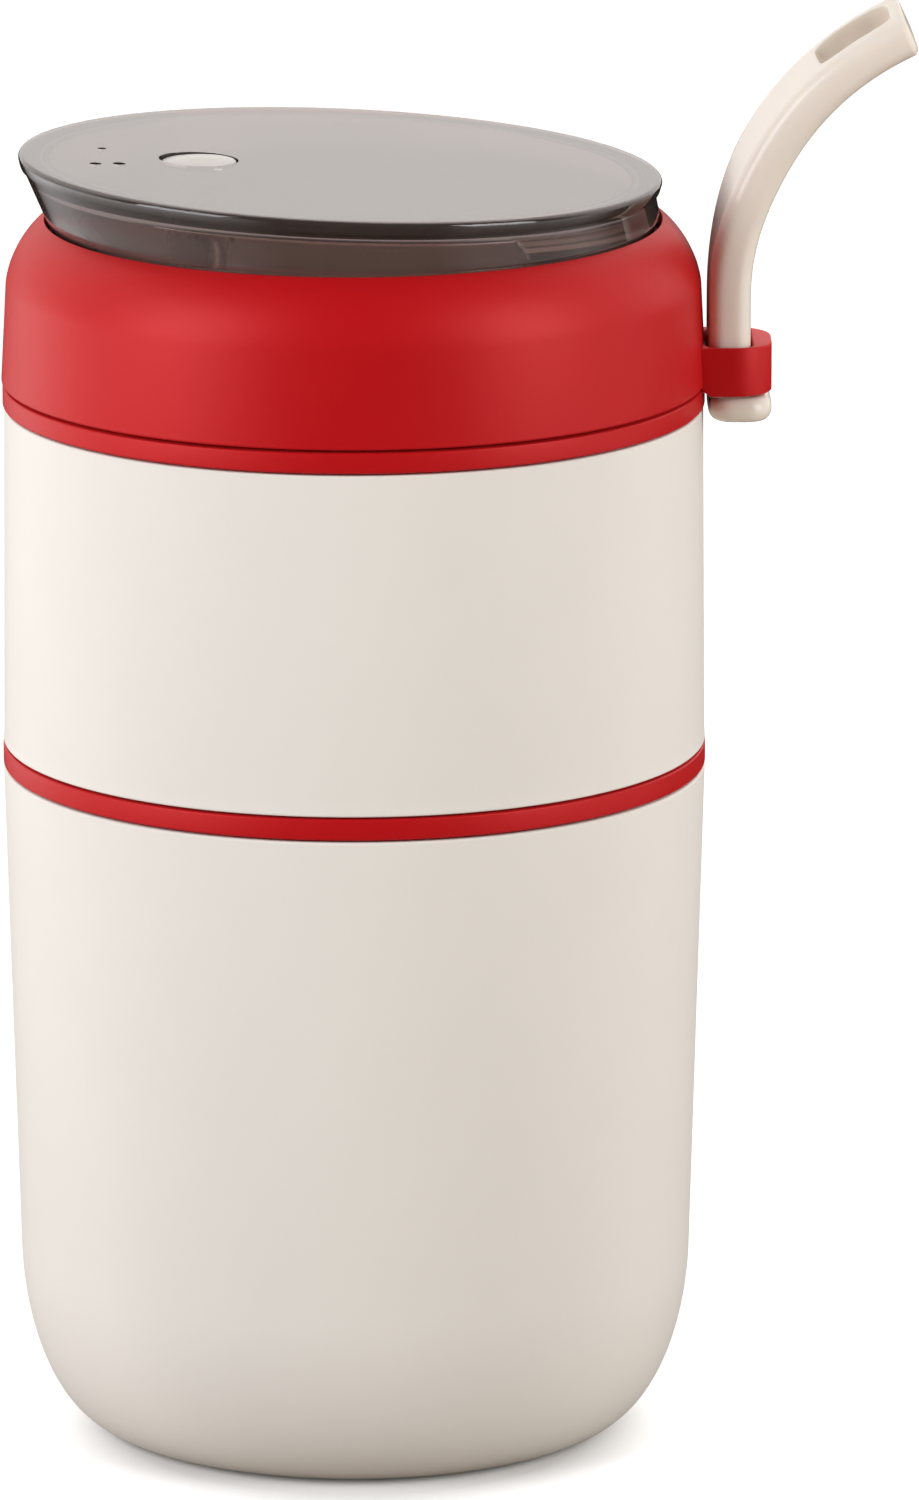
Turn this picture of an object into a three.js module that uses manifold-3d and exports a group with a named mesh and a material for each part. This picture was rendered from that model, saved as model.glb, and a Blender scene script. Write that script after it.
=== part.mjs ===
// Two-tier insulated breakfast cup with a screw lid, a lift-off smoky cover and a carry strap.
// Millimetres, +Z up, origin at the centre of the base. The strap hangs on the +X side.
import * as THREE from "three";
import { mergeVertices } from "three/addons/utils/BufferGeometryUtils.js";
import Module from "manifold-3d";

const wasm = await Module();
wasm.setup();

// Fineness of round pieces
const ROUND_SIDES = 36;
const COVER_SIDES = 48;
const SMALL_SIDES = 20;
const VENT_SIDES = 10;

// Gap between pieces that touch on the real cup
const FIT = 0.3;

// Lower cup: outer steel shell
const SHELL_WALL = 0.9;
const BASE_Z = 0.2;
const BASE_FLAT_R = 33;
const BASE_CORNER_RISE = 24.5;
const SHELL_BELLY_R = 44.45;
const LOWER_TOP_R = 46.59;
const LOWER_TOP_Z = 89.8;
const BASE_FLOOR_Z = 2.6;

// Silicone pad in the recess under the base
const PAD_R = 27.7;
const PAD_HEIGHT = 1.4;
const PAD_EDGE = 0.3;

// Liner of the lower cup and bowl of the upper tier
const LINER_WALL = 0.8;
const LINER_R = 39.8;
const LINER_LIP_R = 41.4;
const LINER_LIP_EASE = 0.4;
const LOWER_LINER_Z = 4.9;
const LOWER_LINER_CORNER = 14;
const BOWL_Z = 108.8;
const BOWL_CORNER = 8;

// Threaded necks with a red flange that shows as a band
const NECK_R = 41.5;
const NECK_WALL = 1.4;
const NECK_HEIGHT = 11;
const FLANGE_EASE = 0.15;
const FLANGE_SPIGOT = 3.8;
const SPIGOT_WALL = 2;
const MID_BAND_R = 46.62;
const MID_BAND_Z = 90.1;
const MID_BAND_HEIGHT = 2.76;
const TOP_BAND_R = 46.35;
const TOP_BAND_Z = 138.5;
const TOP_BAND_HEIGHT = 2.7;

// Upper tier: outer shell and the screw ring inside its lower end
const UPPER_FOOT_R = 46.5;
const UPPER_TOP_R = 46.15;
const UPPER_TOP_Z = 138.2;
const SOCKET_R = 42.7;
const SCREW_RING_R = 45.1;
const SCREW_RING_WEB = 1.2;
const SCREW_RING_BORE = 37;

// Flat gaskets that sit on the lips of the liner and the bowl
const GASKET_INNER_R = 38.4;
const GASKET_OUTER_R = 41.3;
const GASKET_HEIGHT = 1.6;

// Lid: red collar with a drafted wall, a round shoulder and a wide opening
const COLLAR_FOOT_Z = 141.6;
const COLLAR_FOOT_R = 46.5;
const COLLAR_FOOT_EASE = 0.25;
const COLLAR_WALL = 1.4;
const SHOULDER_Z = 154.1;
const SHOULDER_R = 45.85;
const SHOULDER_RADIUS = 11.6;
const SHOULDER_END = THREE.MathUtils.degToRad(54.5);
const SHOULDER_STEPS = 7;
const OPENING_R = 40.6;
const OPENING_LIP_Z = 161.3;
const LIP_ROUND = 0.4;

// Loop on the collar for the strap, hanging a little below the foot of the collar
const LOOP_REACH = 55.1;
const LOOP_WIDTH = 15;
const LOOP_CORNER = 5.3;
const LOOP_BOTTOM_Z = 140.4;
const LOOP_TOP_Z = 146.9;
const LOOP_ROOT_R = 45.3;
const LOOP_CLEAR_R = 46.75;
const LOOP_EDGE = 0.6;

// Inner lid: threaded skirt, sealing floor, ring round the cover and valve guide
const INSERT_R = 43.7;
const INSERT_EASE = 1;
const INSERT_FLANGE_R = 44.8;
const INSERT_FLANGE_HEIGHT = 1.2;
const INSERT_FOOT_Z = 142.2;
const INSERT_FLOOR_Z = 155.5;
const INSERT_FLOOR = 1.6;
const COVER_RING_R = 40.2;
const COVER_RING_WALL = 1.3;
const COVER_RING_TOP_Z = 159.9;

// Pressure valve
const VALVE_X = -20.3;
const VALVE_Y = -1.5;
const GUIDE_R = 3.6;
const GUIDE_BORE = 2.5;
const GUIDE_TOP_Z = 160.5;
const BUTTON_R = 5;
const BUTTON_EDGE_Z = 171;
const BUTTON_CROWN = 0.45;
const BUTTON_DEPTH = 2.3;
const BUTTON_EDGE = 0.5;
const STEM_R = 2;
const STEM_NECK_R = 1.3;
const STEM_HEAD_R = 2.2;
const STEM_HEAD_Z = 152.4;
const STEM_HEAD_HEIGHT = 0.8;
const VALVE_SEAL_R = 5.2;
const VALVE_SEAL_BORE = 1.6;
const VALVE_SEAL_HEIGHT = 1.7;
const SPRING_R = 4.3;
const SPRING_WIRE = 0.8;
const SPRING_CURLS = 5;
const SPRING_STEPS = 8;
const SPRING_SIDES = 5;

// Cover: a disc tilted down towards the strap, on a skewed conical skirt and a level plug
const COVER_TILT = THREE.MathUtils.degToRad(2.51);
const COVER_TURN = THREE.MathUtils.degToRad(11);
const COVER_X = -1.7;
const COVER_Z = 170.4;
const COVER_FLAT_R = 41.1;
const COVER_RIM_R = 42.35;
const COVER_RIM_DEPTH = 2.1;
const COVER_PLATE = 2.2;
const COVER_WALL = 1.6;
const COVER_INNER_EASE = 1;
const CREASE_DEPTH = 0.35;
const SKIRT_FOOT_X = -0.1;
const SKIRT_FOOT_R = 40.3;
const SKIRT_FOOT_Z = 163.3;
const PLUG_R = 39.6;
const COVER_SEAL_INNER_R = 37.4;
const COVER_SEAL_HEIGHT = 1.2;
const BUTTON_HOLE_R = 5.35;
const VENT_R = 0.65;
const VENTS = [
  [-33.3, 3.7],
  [-33.7, -7.8],
  [-30.6, -7.1],
];

// Carry strap: straight through the loop, then a bow outwards that rolls a little, with a slot at its end
const STRAP_WIDTH = 12.8;
const STRAP_THICK = 5.6;
const STRAP_INNER_X = 46.65;
const STRAP_BEND_Z = 153.2;
const STRAP_BEND_R = 38.75;
const STRAP_BEND_END = THREE.MathUtils.degToRad(64.9);
const STRAP_ROLL = THREE.MathUtils.degToRad(9);
const ROLL_LEAD = 6;
const ROLL_FULL = 10;
const STRAP_EDGE = 2.4;
const STRAP_TIP_CORNER = 3;
const STRAP_TIP_ROUND = 1.4;
const STRAP_STEPS = 10;
const SECTION_STEPS = 2;
const TIP_STEPS = 3;
const TIP_EDGE = 0.9;
const SLOT_LENGTH = 11;
const SLOT_WIDTH = 8.4;
const SLOT_CORNER = 2.5;
const SLOT_MIDDLE = THREE.MathUtils.degToRad(56.9);
const FOOT_REACH_X = 55.1;
const FOOT_BOTTOM_Z = 136.7;
const FOOT_WIDTH = 14.8;
const FOOT_CORNER = 3.5;
const FOOT_EDGE = 1.5;

// Heights that follow from the stack of pieces
const MID_BAND_TOP = MID_BAND_Z + MID_BAND_HEIGHT;
const TOP_BAND_TOP = TOP_BAND_Z + TOP_BAND_HEIGHT;
const LOWER_NECK_TOP = MID_BAND_TOP + NECK_HEIGHT;
const UPPER_NECK_TOP = TOP_BAND_TOP + NECK_HEIGHT;
const LOWER_LIP_TOP = LOWER_NECK_TOP + FIT + LINER_WALL;
const UPPER_LIP_TOP = UPPER_NECK_TOP + FIT + LINER_WALL;
const TIER_GASKET_Z = LOWER_LIP_TOP + FIT;
const LID_GASKET_Z = UPPER_LIP_TOP + FIT;
const WEB_Z = TIER_GASKET_Z + GASKET_HEIGHT + FIT;
const FLOOR_TOP = INSERT_FLOOR_Z + INSERT_FLOOR;
const COVER_SEAL_Z = FLOOR_TOP + FIT;
const PLUG_Z = COVER_SEAL_Z + COVER_SEAL_HEIGHT + FIT;

const point = (x, y) => new THREE.Vector2(x, y);

// Points of an elliptical arc in the profile plane, from one angle to another
function arc(centre, radiusX, radiusY, from, to, steps) {
  const curve = new THREE.EllipseCurve(centre.x, centre.y, radiusX, radiusY, from, to, to < from);
  return curve.getPoints(steps);
}

// A round piece from its half section, listed up the outside and down the inside
function revolve(section, sides = ROUND_SIDES) {
  return new THREE.LatheGeometry(section, sides).rotateX(Math.PI / 2);
}

// A ring from its half section, closed on itself
function revolveRing(section, sides = ROUND_SIDES) {
  return revolve([...section, section[0]], sides);
}

// A plain upright cylinder on the axis, used to cut and join
function post(radius, bottom, top, sides) {
  return revolve([point(0, bottom), point(radius, bottom), point(radius, top), point(0, top)], sides);
}

// A prism of an outline in the XY plane, standing from one height to another
function prism(shape, bottom, top, edge = 0) {
  const geometry = new THREE.ExtrudeGeometry(shape, {
    depth: top - bottom - 2 * edge,
    bevelEnabled: edge > 0,
    bevelThickness: edge,
    bevelSize: edge,
    bevelOffset: -edge,
    bevelSegments: 2,
    curveSegments: 4,
  });
  return geometry.translate(0, 0, bottom + edge);
}

// A rectangle with round corners, as an outline
function roundedBox(left, right, bottom, top, corner) {
  const shape = new THREE.Shape();
  shape.moveTo(left + corner, bottom);
  shape.lineTo(right - corner, bottom);
  shape.absarc(right - corner, bottom + corner, corner, -Math.PI / 2, 0);
  shape.lineTo(right, top - corner);
  shape.absarc(right - corner, top - corner, corner, 0, Math.PI / 2);
  shape.lineTo(left + corner, top);
  shape.absarc(left + corner, top - corner, corner, Math.PI / 2, Math.PI);
  shape.lineTo(left, bottom + corner);
  shape.absarc(left + corner, bottom + corner, corner, Math.PI, 1.5 * Math.PI);
  return shape;
}

// A geometry as a solid that can be joined and cut
function solid(geometry) {
  const bare = new THREE.BufferGeometry();
  const flat = geometry.index ? geometry.toNonIndexed() : geometry;
  bare.setAttribute("position", flat.getAttribute("position"));
  const merged = mergeVertices(bare, 1e-3);
  return new wasm.Manifold(
    new wasm.Mesh({
      numProp: 3,
      vertProperties: merged.attributes.position.array,
      triVerts: new Uint32Array(merged.index.array),
    }),
  );
}

// A joined or cut solid back as a geometry
function geometryOf(made) {
  const mesh = made.getMesh();
  const geometry = new THREE.BufferGeometry();
  geometry.setAttribute("position", new THREE.BufferAttribute(mesh.vertProperties, 3));
  geometry.setIndex(new THREE.BufferAttribute(mesh.triVerts, 1));
  return geometry;
}

// A surface over a list of rings of equal count, with a middle point at each end
function loft(rings, first, last) {
  const sides = rings[0].length;
  const points = [first, ...rings.flat(), last];
  const faces = [];
  const index = (ring, side) => 1 + ring * sides + (side % sides);
  for (let side = 0; side < sides; side++) {
    faces.push(0, index(0, side), index(0, side + 1));
    for (let ring = 0; ring + 1 < rings.length; ring++) {
      const a = index(ring, side);
      const b = index(ring, side + 1);
      const c = index(ring + 1, side);
      const d = index(ring + 1, side + 1);
      faces.push(a, c, b, b, c, d);
    }
    const end = rings.length - 1;
    faces.push(points.length - 1, index(end, side + 1), index(end, side));
  }
  const geometry = new THREE.BufferGeometry().setFromPoints(points);
  return geometry.setIndex(faces);
}

// Lower cup

function lowerShell() {
  const corner = point(BASE_FLAT_R, BASE_Z + BASE_CORNER_RISE);
  const reach = SHELL_BELLY_R - BASE_FLAT_R;
  const recess = PAD_HEIGHT + FIT;
  const outerCorner = arc(corner, reach, BASE_CORNER_RISE, -Math.PI / 2, 0, 9);
  const innerRise = corner.y - BASE_FLOOR_Z;
  const innerCorner = arc(corner, reach - SHELL_WALL, innerRise, 0, -Math.PI / 2, 7);
  return revolve([
    point(0, recess),
    point(PAD_R + FIT, recess),
    point(PAD_R + FIT, BASE_Z),
    ...outerCorner,
    point(LOWER_TOP_R, LOWER_TOP_Z),
    point(LOWER_TOP_R - SHELL_WALL, LOWER_TOP_Z),
    ...innerCorner,
    point(0, BASE_FLOOR_Z),
  ]);
}

function basePad() {
  return revolve([
    point(0, 0),
    point(PAD_R - PAD_EDGE, 0),
    point(PAD_R, PAD_EDGE),
    point(PAD_R, PAD_HEIGHT),
    point(0, PAD_HEIGHT),
  ]);
}

// A pressed steel vessel with a round bottom corner and a lip turned out over the neck
function vessel(bottom, corner, lipTop) {
  const middle = point(LINER_R - corner, bottom + corner);
  const inner = corner - LINER_WALL;
  const mouth = LINER_R - LINER_WALL;
  return revolve([
    point(0, bottom),
    ...arc(middle, corner, corner, -Math.PI / 2, 0, 6),
    point(LINER_R, lipTop - LINER_WALL),
    point(LINER_LIP_R, lipTop - LINER_WALL),
    point(LINER_LIP_R, lipTop),
    point(mouth + LINER_LIP_EASE, lipTop),
    point(mouth, lipTop - LINER_LIP_EASE),
    ...arc(middle, inner, inner, 0, -Math.PI / 2, 6),
    point(0, bottom + LINER_WALL),
  ]);
}

// A neck that carries the thread, with its flange band and a spigot down into the shell
function neckRing(bandR, bandZ, bandTop, spigotR) {
  const bore = NECK_R - NECK_WALL;
  return revolveRing([
    point(spigotR - SPIGOT_WALL, bandZ - FLANGE_SPIGOT),
    point(spigotR, bandZ - FLANGE_SPIGOT),
    point(spigotR, bandZ),
    point(bandR - FLANGE_EASE, bandZ),
    point(bandR, bandZ + FLANGE_EASE),
    point(bandR, bandTop - FLANGE_EASE),
    point(bandR - FLANGE_EASE, bandTop),
    point(NECK_R, bandTop),
    point(NECK_R, bandTop + NECK_HEIGHT),
    point(bore, bandTop + NECK_HEIGHT),
    point(bore, bandZ),
    point(spigotR - SPIGOT_WALL, bandZ),
  ]);
}

// A flat ring of square section
function flatRing(inner, outer, bottom, height, sides = ROUND_SIDES) {
  return revolveRing(
    [
      point(inner, bottom),
      point(outer, bottom),
      point(outer, bottom + height),
      point(inner, bottom + height),
    ],
    sides,
  );
}

// Upper tier

function upperShell() {
  const foot = MID_BAND_TOP + FIT;
  return revolveRing([
    point(UPPER_FOOT_R - SHELL_WALL, foot),
    point(UPPER_FOOT_R, foot),
    point(UPPER_TOP_R, UPPER_TOP_Z),
    point(UPPER_TOP_R - SHELL_WALL, UPPER_TOP_Z),
  ]);
}

function tierScrewRing() {
  const foot = MID_BAND_TOP + 2 * FIT;
  const top = WEB_Z + SCREW_RING_WEB;
  return revolveRing([
    point(SOCKET_R, foot),
    point(SCREW_RING_R, foot),
    point(SCREW_RING_R, top),
    point(SCREW_RING_BORE, top),
    point(SCREW_RING_BORE, WEB_Z),
    point(SOCKET_R, WEB_Z),
  ]);
}

// Lid

function lidCollar() {
  const draft = Math.atan2(COLLAR_FOOT_R - SHOULDER_R, SHOULDER_Z - COLLAR_FOOT_Z);
  const centre = point(
    SHOULDER_R - SHOULDER_RADIUS * Math.cos(draft),
    SHOULDER_Z - SHOULDER_RADIUS * Math.sin(draft),
  );
  const inner = SHOULDER_RADIUS - COLLAR_WALL;
  const innerEnd = Math.asin((OPENING_LIP_Z - centre.y) / inner);
  const outerArc = arc(centre, SHOULDER_RADIUS, SHOULDER_RADIUS, draft, SHOULDER_END, SHOULDER_STEPS);
  const shoulderTop = outerArc[outerArc.length - 1];
  const lip = point(OPENING_R + LIP_ROUND, shoulderTop.y - LIP_ROUND / 2);
  const bowl = revolveRing([
    point(COLLAR_FOOT_R - COLLAR_WALL, COLLAR_FOOT_Z),
    point(COLLAR_FOOT_R - COLLAR_FOOT_EASE, COLLAR_FOOT_Z),
    point(COLLAR_FOOT_R, COLLAR_FOOT_Z + COLLAR_FOOT_EASE),
    ...outerArc,
    ...arc(lip, LIP_ROUND, LIP_ROUND, Math.PI / 2, Math.PI, 2),
    point(OPENING_R, OPENING_LIP_Z),
    ...arc(centre, inner, inner, innerEnd, draft, SHOULDER_STEPS),
  ]);
  const half = LOOP_WIDTH / 2;
  const outline = roundedBox(LOOP_ROOT_R - LOOP_CORNER, LOOP_REACH, -half, half, LOOP_CORNER);
  const below = LOOP_BOTTOM_Z - 1;
  const inside = post(LOOP_ROOT_R, below, LOOP_TOP_Z + 1, ROUND_SIDES);
  const underFoot = post(LOOP_CLEAR_R, below, COLLAR_FOOT_Z, ROUND_SIDES);
  const block = solid(prism(outline, LOOP_BOTTOM_Z, LOOP_TOP_Z, LOOP_EDGE));
  const loop = block.subtract(solid(inside)).subtract(solid(underFoot));
  const strapHalf = STRAP_WIDTH / 2 + FIT;
  const strapWay = roundedBox(
    STRAP_INNER_X - FIT,
    STRAP_INNER_X + STRAP_THICK + FIT,
    -strapHalf,
    strapHalf,
    STRAP_EDGE,
  );
  const slot = solid(prism(strapWay, below, LOOP_TOP_Z + 1));
  return geometryOf(solid(bowl).add(loop).subtract(slot));
}

function lidInsert() {
  const ringOuter = COVER_RING_R + COVER_RING_WALL;
  const body = revolve([
    point(0, INSERT_FLOOR_Z),
    point(SOCKET_R, INSERT_FLOOR_Z),
    point(SOCKET_R, INSERT_FOOT_Z),
    point(INSERT_FLANGE_R, INSERT_FOOT_Z),
    point(INSERT_FLANGE_R, INSERT_FOOT_Z + INSERT_FLANGE_HEIGHT),
    point(INSERT_R, INSERT_FOOT_Z + INSERT_FLANGE_HEIGHT),
    point(INSERT_R, FLOOR_TOP - INSERT_EASE),
    point(INSERT_R - INSERT_EASE, FLOOR_TOP),
    point(ringOuter, FLOOR_TOP),
    point(ringOuter, COVER_RING_TOP_Z),
    point(COVER_RING_R, COVER_RING_TOP_Z),
    point(COVER_RING_R, FLOOR_TOP),
    point(0, FLOOR_TOP),
  ]);
  const guide = post(GUIDE_R, INSERT_FLOOR_Z + FIT, GUIDE_TOP_Z, SMALL_SIDES);
  const bore = post(GUIDE_BORE, INSERT_FLOOR_Z - 1, GUIDE_TOP_Z + 1, SMALL_SIDES);
  guide.translate(VALVE_X, VALVE_Y, 0);
  bore.translate(VALVE_X, VALVE_Y, 0);
  return geometryOf(solid(body).add(solid(guide)).subtract(solid(bore)));
}

// Cover

// A level or tilted circle of the cover, with its centre on the plane of symmetry
function coverRing(x, z, radius, tilt) {
  const up = new THREE.Vector3(0, 0, 1);
  const ring = [];
  for (let side = 0; side < COVER_SIDES; side++) {
    const turn = (2 * Math.PI * side) / COVER_SIDES;
    const along = radius * Math.cos(turn);
    const across = radius * Math.sin(turn);
    const place = new THREE.Vector3(x + along * Math.cos(tilt), across, z - along * Math.sin(tilt));
    ring.push(place.applyAxisAngle(up, COVER_TURN));
  }
  return ring;
}

// A circle of the tilted rim, at a depth below the flat top
function rimRing(radius, depth) {
  const x = COVER_X - depth * Math.sin(COVER_TILT);
  const z = COVER_Z - depth * Math.cos(COVER_TILT);
  return coverRing(x, z, radius, COVER_TILT);
}

function lidCover() {
  const round = COVER_RIM_R - COVER_FLAT_R;
  const outer = arc(point(COVER_FLAT_R, -round), round, round, Math.PI / 2, 0, 3);
  const creaseR = COVER_RIM_R - CREASE_DEPTH;
  const roomR = COVER_FLAT_R - COVER_WALL;
  const shell = loft(
    [
      ...outer.map((p) => rimRing(p.x, -p.y)),
      rimRing(creaseR, COVER_RIM_DEPTH),
      rimRing(creaseR - CREASE_DEPTH, COVER_RIM_DEPTH),
      coverRing(SKIRT_FOOT_X, SKIRT_FOOT_Z, SKIRT_FOOT_R, 0),
      coverRing(0, SKIRT_FOOT_Z - FIT, PLUG_R, 0),
      coverRing(0, PLUG_Z, PLUG_R, 0),
      coverRing(0, PLUG_Z, PLUG_R - COVER_WALL, 0),
      coverRing(0, SKIRT_FOOT_Z - FIT, PLUG_R - COVER_WALL, 0),
      rimRing(roomR, COVER_PLATE + COVER_INNER_EASE),
      rimRing(roomR - COVER_INNER_EASE, COVER_PLATE),
    ],
    rimRing(0, 0)[0],
    rimRing(0, COVER_PLATE)[0],
  );
  let cover = solid(shell);
  const drill = (x, y, radius, sides) => {
    const hole = post(radius, SKIRT_FOOT_Z, COVER_Z + 2 * COVER_RIM_DEPTH, sides);
    cover = cover.subtract(solid(hole.translate(x, y, 0)));
  };
  drill(VALVE_X, VALVE_Y, BUTTON_HOLE_R, SMALL_SIDES);
  VENTS.forEach(([x, y]) => drill(x, y, VENT_R, VENT_SIDES));
  return geometryOf(cover);
}

// Valve

function valveButton() {
  const under = BUTTON_EDGE_Z - BUTTON_DEPTH;
  const shoulder = INSERT_FLOOR_Z;
  const headTop = STEM_HEAD_Z + STEM_HEAD_HEIGHT;
  return revolve(
    [
      point(0, STEM_HEAD_Z),
      point(STEM_HEAD_R - FIT, STEM_HEAD_Z),
      point(STEM_HEAD_R, STEM_HEAD_Z + FIT),
      point(STEM_HEAD_R, headTop),
      point(STEM_NECK_R, headTop),
      point(STEM_NECK_R, shoulder),
      point(STEM_R, shoulder),
      point(STEM_R, under),
      point(BUTTON_R, under),
      point(BUTTON_R, BUTTON_EDGE_Z - BUTTON_EDGE),
      point(BUTTON_R - BUTTON_EDGE, BUTTON_EDGE_Z),
      point(BUTTON_R / 2, BUTTON_EDGE_Z + BUTTON_CROWN * 0.75),
      point(0, BUTTON_EDGE_Z + BUTTON_CROWN),
    ],
    SMALL_SIDES,
  );
}

function valveSeal() {
  const bottom = STEM_HEAD_Z + STEM_HEAD_HEIGHT + FIT;
  return flatRing(VALVE_SEAL_BORE, VALVE_SEAL_R, bottom, VALVE_SEAL_HEIGHT, SMALL_SIDES);
}

// A compression spring as one unbroken wire, and the least gap between its own curls
function valveSpring() {
  const wire = SPRING_WIRE / 2;
  const bottom = FLOOR_TOP + FIT + wire;
  const top = BUTTON_EDGE_Z - BUTTON_DEPTH - FIT - wire;
  const steps = SPRING_CURLS * SPRING_STEPS;
  const rings = [];
  const middles = [];
  for (let step = 0; step <= steps; step++) {
    const turn = (2 * Math.PI * step) / SPRING_STEPS;
    const outward = new THREE.Vector3(Math.cos(turn), Math.sin(turn), 0);
    const middle = outward.clone().multiplyScalar(SPRING_R);
    middle.z = bottom + ((top - bottom) * step) / steps;
    middles.push(middle);
    const ring = [];
    for (let side = 0; side < SPRING_SIDES; side++) {
      const roll = (2 * Math.PI * side) / SPRING_SIDES;
      const spoke = outward.clone().multiplyScalar(wire * Math.cos(roll));
      spoke.z = wire * Math.sin(roll);
      ring.push(middle.clone().add(spoke));
    }
    rings.push(ring);
  }
  let least = Infinity;
  for (let step = 0; step + SPRING_STEPS / 2 <= steps; step++) {
    for (let other = step + SPRING_STEPS / 2; other <= steps; other++) {
      least = Math.min(least, middles[step].distanceTo(middles[other]) - SPRING_WIRE);
    }
  }
  console.log("valve_spring least gap to itself " + least.toFixed(2) + " mm");
  return loft(rings, middles[0], middles[steps]);
}

// Carry strap

// The strap's axes at a run past the start of its bow: a middle point, the way along, across and through it
function strapAxes(run) {
  const bendX = STRAP_INNER_X + STRAP_THICK / 2 + STRAP_BEND_R;
  const bend = Math.max(0, run) / STRAP_BEND_R;
  const roll = STRAP_ROLL * THREE.MathUtils.smoothstep(run, -ROLL_LEAD, ROLL_FULL);
  const middle = new THREE.Vector3(
    bendX - STRAP_BEND_R * Math.cos(bend),
    0,
    STRAP_BEND_Z + STRAP_BEND_R * Math.sin(bend) + Math.min(0, run),
  );
  const along = new THREE.Vector3(Math.sin(bend), 0, Math.cos(bend));
  const across = new THREE.Vector3(0, 1, 0).applyAxisAngle(along, roll);
  const through = new THREE.Vector3(-Math.cos(bend), 0, Math.sin(bend)).applyAxisAngle(along, roll);
  return { middle, along, across, through };
}

// A ring of the strap's rounded section, moved along it and drawn in on both sides
function strapRing(axes, ahead, drawWidth, drawThick) {
  const halfWidth = STRAP_WIDTH / 2 - drawWidth;
  const halfThick = STRAP_THICK / 2 - drawThick;
  const edge = Math.min(STRAP_EDGE, halfThick * TIP_EDGE);
  const outline = roundedBox(-halfWidth, halfWidth, -halfThick, halfThick, edge);
  return outline.getPoints(SECTION_STEPS).slice(1).map((p) =>
    axes.middle
      .clone()
      .addScaledVector(axes.along, ahead)
      .addScaledVector(axes.across, -p.x)
      .addScaledVector(axes.through, p.y),
  );
}

function carryStrap() {
  const footTop = LOOP_BOTTOM_Z - FIT;
  const rootRun = (FOOT_BOTTOM_Z + footTop) / 2 - STRAP_BEND_Z;
  const tipRun = STRAP_BEND_R * STRAP_BEND_END;
  const tip = strapAxes(tipRun);
  const runs = [rootRun, -ROLL_LEAD, -ROLL_LEAD / 2];
  for (let step = 0; step <= STRAP_STEPS; step++) {
    runs.push((tipRun * step) / STRAP_STEPS);
  }
  const rings = runs.map((run) => strapRing(strapAxes(run), 0, 0, 0));
  for (let step = 1; step <= TIP_STEPS; step++) {
    const turn = (0.5 * Math.PI * step) / (TIP_STEPS + 0.5);
    const lost = 1 - Math.cos(turn);
    const ahead = STRAP_TIP_ROUND * Math.sin(turn);
    rings.push(strapRing(tip, ahead, STRAP_TIP_CORNER * lost, STRAP_TIP_ROUND * lost));
  }
  const first = strapAxes(rootRun).middle;
  const last = tip.middle.clone().addScaledVector(tip.along, STRAP_TIP_ROUND);
  const band = solid(loft(rings, first, last));
  const footHalf = FOOT_WIDTH / 2;
  const footShape = roundedBox(STRAP_INNER_X, FOOT_REACH_X, -footHalf, footHalf, FOOT_CORNER);
  const foot = solid(prism(footShape, FOOT_BOTTOM_Z, footTop, FOOT_EDGE));
  const { middle, along, across, through } = strapAxes(STRAP_BEND_R * SLOT_MIDDLE);
  const reach = SLOT_LENGTH / 2;
  const half = SLOT_WIDTH / 2;
  const slotShape = roundedBox(-reach, reach, -half, half, SLOT_CORNER);
  const place = new THREE.Matrix4().makeBasis(along, across, through).setPosition(middle);
  const slot = prism(slotShape, -STRAP_THICK, STRAP_THICK).applyMatrix4(place);
  return geometryOf(band.add(foot).subtract(solid(slot)));
}

// Materials and assembly

function finish(color, roughness, metalness) {
  return new THREE.MeshStandardMaterial({ color, roughness, metalness });
}

const creamCoat = () => finish(0xebe2d6, 0.45, 0);
const brushedSteel = () => finish(0xb9b9b6, 0.35, 1);
const redPlastic = () => finish(0xc01f26, 0.5, 0);
const clearSilicone = () => finish(0xdcdcd6, 0.6, 0);
const whitePlastic = () => finish(0xe9e6e1, 0.4, 0);

function named(name, geometry, material) {
  const mesh = new THREE.Mesh(geometry, material);
  mesh.name = name;
  return mesh;
}

const lowerCup = new THREE.Group().add(
  named("lower_shell", lowerShell(), creamCoat()),
  named("base_pad", basePad(), finish(0xd8d2c8, 0.7, 0)),
  named("lower_liner", vessel(LOWER_LINER_Z, LOWER_LINER_CORNER, LOWER_LIP_TOP), brushedSteel()),
  named(
    "lower_neck_ring",
    neckRing(MID_BAND_R, MID_BAND_Z, MID_BAND_TOP, LOWER_TOP_R - SHELL_WALL - 2 * FIT),
    redPlastic(),
  ),
);

const upperTier = new THREE.Group().add(
  named(
    "tier_gasket",
    flatRing(GASKET_INNER_R, GASKET_OUTER_R, TIER_GASKET_Z, GASKET_HEIGHT),
    clearSilicone(),
  ),
  named("upper_shell", upperShell(), creamCoat()),
  named("upper_bowl", vessel(BOWL_Z, BOWL_CORNER, UPPER_LIP_TOP), brushedSteel()),
  named("tier_screw_ring", tierScrewRing(), whitePlastic()),
  named(
    "upper_neck_ring",
    neckRing(TOP_BAND_R, TOP_BAND_Z, TOP_BAND_TOP, UPPER_TOP_R - SHELL_WALL - FIT),
    redPlastic(),
  ),
);

const valve = new THREE.Group().add(
  named("valve_button", valveButton(), finish(0xece7e2, 0.3, 0)),
  named("valve_spring", valveSpring(), brushedSteel()),
  named("valve_seal", valveSeal(), clearSilicone()),
);
valve.position.set(VALVE_X, VALVE_Y, 0);

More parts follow.
